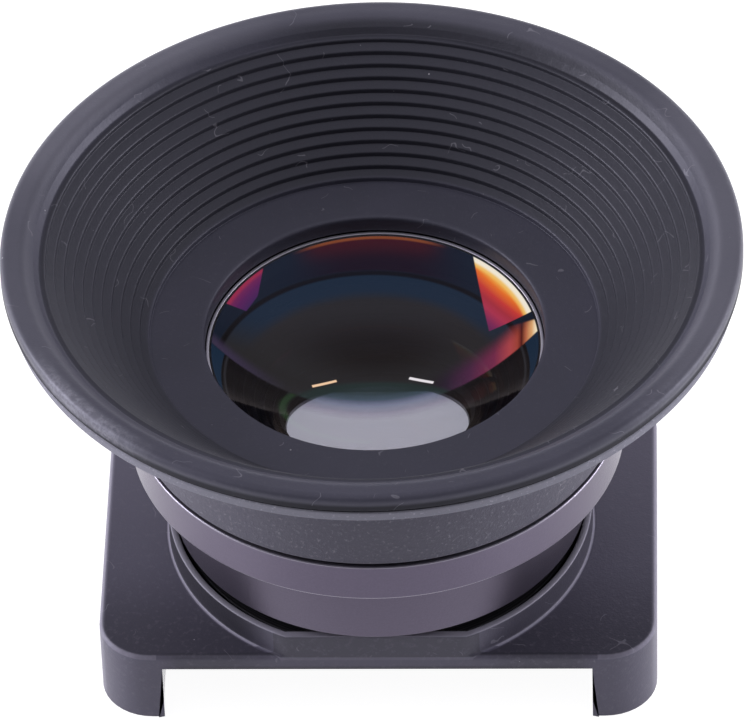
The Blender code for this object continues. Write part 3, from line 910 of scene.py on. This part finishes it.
def collar(material):
    """Thin wall that stands on the plate round the threaded ring, with its front and back cut flat."""

    def wall(change, height):
        return at(flat_sided(collar_radius + change, collar_flat + min(change, 0)), height)

    def recess(change, height):
        return at(flat_sided(collar_inner_radius + change, collar_inner_flat + change), height)

    flare = [(0.14, -0.01), (0.13, 0.01), (0.06, 0.04), (0.02, 0.08), (0, 0.15), (0, 0.3)]
    rows = [wall(0.14, collar_foot)]
    rows += [wall(change, plate_top + rise) for change, rise in flare]
    rows += [wall(0, collar_top - 0.2), wall(0, collar_top - 0.08), wall(-0.025, collar_top - 0.025),
             wall(-0.07, collar_top)]
    rows += [recess(0.06, collar_top), recess(0.01, collar_top - 0.03), recess(0, collar_top - 0.08),
             recess(0, plate_top - 0.02), recess(-0.4, plate_top - 0.02), recess(-0.4, collar_foot)]
    stacked_piece("collar_skin", rows, material, "mount", [])


def mount_plate(material):
    """The plate as one closed surface of outlines: from the window's edge out under the plate, down the
    channel's wall, across the foot, up the outside, over the rounded top edge and down the hole. Between the
    legs the channel's outlines run together on the plate's front edge."""
    front_count, front_run_count, side_count, corner_count, back_count = 33, 3, 32, 10, 28

    def both_sides(right, back_y):
        """The right leg's points, then a stretch along the back, then the left leg as their mirror image."""
        reach = right[-1, 0]
        back = np.linspace(reach, -reach, back_count + 2)[1:-1]
        return np.vstack([right, np.column_stack([back, np.full(back_count, back_y)]), right[::-1] * (-1, 1)])

    def leg_outer(inset):
        """Outside of the legs and the stop wall, from the right leg's inner front corner to the left's."""
        r = plate_corner - inset
        x, y = plate_half_width - plate_corner, plate_half_depth - plate_corner
        side = np.linspace(-y, y, side_count + 2)[1:-1]
        front_run = np.linspace(channel_wall, x, front_run_count + 1)[:-1]
        right = np.vstack([np.column_stack([front_run, np.full(front_run_count, -plate_half_depth + inset)]),
                           arc_points((x, -y), r, -90, 0, corner_count),
                           np.column_stack([np.full(side_count, plate_half_width - inset), side]),
                           arc_points((x, y), r, 0, 90, corner_count)])
        return both_sides(right, plate_half_depth - inset)

    def leg_inner(reach):
        """The channel's wall, with a point for each of leg_outer's."""
        count = front_run_count + side_count + 2 * (corner_count + 1)
        down = np.linspace(-plate_half_depth, channel_stop, count)
        return both_sides(np.column_stack([np.full(count, reach), down]), channel_stop)

    across = np.linspace(-channel_wall, channel_wall, front_count)
    front = np.column_stack([across, np.full(front_count, -plate_half_depth)])

    def circle(radius, height):
        """A circle with a point for each of the outline's, in the outline's own directions."""
        outline = np.vstack([front, leg_outer(0)])
        return at(radius * outline / np.linalg.norm(outline, axis=1)[:, None], height)

    def below(legs, height):
        """An outline whose legs are at a height and whose front edge stays on the plate's underside."""
        heights = np.concatenate([np.full(front_count, plate_underside), np.full(len(legs), height)])
        return np.column_stack([np.vstack([front, legs]), heights])

    def outside(inset, height):
        return at(np.vstack([front + (0, inset), leg_outer(inset)]), height)

    rows = [circle(window_radius, window_lip_top), circle(window_radius, plate_underside),
            below(leg_inner(channel_wall), plate_underside), below(leg_inner(channel_wall), lead_in_height),
            below(leg_inner(channel_lead_in), foot_bevel), below(leg_inner(channel_lead_in + 0.06), 0),
            below(leg_outer(foot_bevel), 0), below(leg_outer(0), foot_bevel)]
    rows += [outside(0, plate_top - plate_edge_round - 0.02)]
    rows += [outside(plate_edge_round * (1 - math.cos(t)), plate_top - plate_edge_round * (1 - math.sin(t)))
             for t in np.linspace(0, math.pi / 2, 6)]
    rows += [outside(plate_edge_round + 0.04, plate_top), circle(plate_hole, plate_top),
             circle(plate_hole, window_lip_top)]
    stacked_piece("plate_skin", rows, material, "mount", ["mount_plate"])


def guide_ridge(name, side, material):
    """Ridge along a leg's inner face, tapered at its front end, that grips the groove in the camera's frame:
    outlines from a point under its middle, out round its broken edges, to a point over its middle."""
    corners = np.array([(ridge_root, ridge_front - 0.2), (ridge_crest, ridge_front + 0.9),
                        (ridge_crest, ridge_back), (ridge_root, ridge_back)])
    middle = np.tile(corners.mean(0) * (side, 1), (4, 1))

    def ring(inset, height):
        spread = np.array([(0, inset), (inset, inset), (inset, -inset), (0, -inset)])
        return at((corners + spread) * (side, 1), height)

    rows = [at(middle, ridge_bottom), ring(ridge_bevel, ridge_bottom), ring(0, ridge_bottom + ridge_bevel),
            ring(0, ridge_top - ridge_bevel), ring(ridge_bevel, ridge_top), at(middle, ridge_top)]
    points = np.array(rows).reshape(-1, 3)
    make_piece(name, points, grid_faces(len(rows), 4, False), material, "mount", [])


def thread_ring(material):
    """Metal ring in the collar, flat-sided outside and threaded inside."""
    outer = flat_sided(thread_ring_radius, thread_ring_flat)
    angle = np.arctan2(outer[:, 1], outer[:, 0])

    def bore(height):
        wave = thread_wave(height, angle, thread_ring_bottom, thread_ring_top, thread_ring_run_out)
        radius = thread_bore - thread_ridge * wave
        return at(np.column_stack([radius * np.cos(angle), radius * np.sin(angle)]), height)

    rows = [at(outer, thread_ring_bottom), at(outer, thread_ring_top - 0.05),
            at(outer * 0.996, thread_ring_top)]
    rows += [bore(height) for height in np.linspace(thread_ring_top, thread_ring_bottom, thread_ring_rows)]
    stacked_piece("thread_ring_skin", rows, material, "mount", ["thread_ring"])


def build_object():
    plastic, ring_metal = moulded(), blackened()
    mount_plate(plastic)
    collar(plastic)
    guide_ridge("ridge_left", -1, plastic)
    guide_ridge("ridge_right", 1, plastic)
    thread_ring(ring_metal)
    barrel(anodised())
    eye_lens_ring(ring_metal)
    field_lens_ring(ring_metal)
    baffle_tube(baffle_black())
    eyecup(rubber())
    eye_lens(eye_glass())
    field_lenses()


# Studio

softbox_distance = 500
softbox_width = 240
softbox_height = 190
softbox_aim = 18
lamp_tone = (0.95, 0.94, 1.0)
floor_reach = 3000


def softbox(name, direction, radiance):
    """A rectangular lamp that faces the object; its power follows from how bright its face is."""
    lamp = bpy.data.lights.new(name, "AREA")
    lamp.shape, lamp.size, lamp.size_y = "RECTANGLE", softbox_width * mm, softbox_height * mm
    lamp.energy = radiance * math.pi * softbox_width * softbox_height * mm * mm
    lamp.color = lamp_tone
    holder = bpy.data.objects.new(name, lamp)
    way = np.array(direction, float) / np.linalg.norm(direction)
    side = np.cross((0, 0, 1), way)
    side /= np.linalg.norm(side)
    basis = np.column_stack([side, np.cross(way, side), way])
    place = (way * softbox_distance + (0, 0, softbox_aim)) * mm
    holder.matrix_world = Matrix.Translation(place) @ Matrix(basis).to_4x4()
    bpy.context.scene.collection.objects.link(holder)


def surroundings():
    """White for the camera. For every other ray, brighter low behind and at the sides than in front."""
    scene = bpy.context.scene
    scene.world = scene.world or bpy.data.worlds.new("studio")
    tree = Tree(scene.world)
    camera_ray = tree.seen()[0]
    side, back, rise = tree.parts(tree.node("TexCoord", output="Generated"))
    zenith = tree.ramp(rise, 0.55, 0.85)
    low = 1 - tree.ramp(rise, 0.1, 0.4)
    middle = 1 - zenith - low
    rear = tree.ramp(back, 0.0, 0.5)
    front = tree.ramp(-1 * back, 0.2, 0.7)
    sides = 1 - rear - front
    leftward = tree.ramp(-1 * side, -0.2, 0.2)
    strength = (zenith * 0.7 + low * (rear * 2.0 + sides * 1.2 + front * 0.13)
                + middle * (rear * 0.3 + front * 0.1 + sides * (0.4 + 0.65 * leftward)))
    strength = tree.node("Mix", sockets={0: camera_ray, 2: strength, 3: 1.0})
    colour = tree.mix(camera_ray, lamp_tone, (1.0, 1.0, 1.0))
    around = tree.node("Background", sockets={"Color": colour, "Strength": strength})
    tree.node("OutputWorld", sockets={"Surface": around})


def floor():
    """White paper. Where a surface mirrors it, a painted shade makes it darker in front of the object."""
    mesh = bpy.data.meshes.new("floor")
    corners = [(-1, -1), (1, -1), (1, 1), (-1, 1)]
    reach = floor_reach * mm
    mesh.from_pydata([(reach * x, reach * y, 0) for x, y in corners], [], [(0, 1, 2, 3)])
    paper = bpy.data.objects.new("floor", mesh)
    bpy.context.scene.collection.objects.link(paper)
    material, tree, place = new_material("floor_white")
    camera_ray, glossy_ray, glass_ray = tree.seen()
    white = tree.mix(camera_ray, (0.8, 0.8, 0.8), (0.3, 0.3, 0.3))
    # Painted shade: for mirroring surfaces the floor glows less in front of the object.
    mirrored_front_shade = tree.ramp(-1 * place.y, 8.0, 30.0) * (1 - tree.ramp(abs(place.x), 12.0, 40.0))
    mirrored = (0.95 - mirrored_front_shade * 0.6) * glossy_ray * (1 - glass_ray)
    tree.finish(principled(tree, base_color=white, roughness=0.9, emission_color=(1.0, 1.0, 1.0),
                           emission_strength=camera_ray * 0.94 + mirrored + glass_ray * 0.6))
    mesh.materials.append(material)


def studio():
    """White floor and surroundings, and a softbox on each side."""
    bpy.context.scene.view_settings.view_transform = "Standard"
    surroundings()
    floor()
    softbox("softbox_left", (-0.93, 0.10, 0.34), 13.6)
    softbox("softbox_right", (0.95, 0.14, 0.30), 10.3)


def camera():
    """The camera at the photograph's place: azimuth 0 looks along +Y, and the roll turns the picture."""
    scene = bpy.context.scene
    azimuth, elevation = math.radians(camera_azimuth), math.radians(camera_elevation)
    roll = math.radians(camera_roll)
    look = np.array([math.sin(azimuth) * math.cos(elevation), math.cos(azimuth) * math.cos(elevation),
                     -math.sin(elevation)])
    side = np.array([math.cos(azimuth), -math.sin(azimuth), 0])
    rise = np.cross(side, look)
    right = math.cos(roll) * side + math.sin(roll) * rise
    up = math.cos(roll) * rise - math.sin(roll) * side
    data = bpy.data.cameras.new("camera")
    data.lens, data.sensor_width = camera_lens, camera_sensor
    data.clip_start, data.clip_end = 0.01, 20
    holder = bpy.data.objects.new("camera", data)
    basis = np.column_stack([right, up, -look])
    place = (np.array(camera_aim) - look * camera_distance) * mm
    holder.matrix_world = Matrix.Translation(place) @ Matrix(basis).to_4x4()
    scene.collection.objects.link(holder)
    scene.camera = holder


build_object()
studio()
camera()
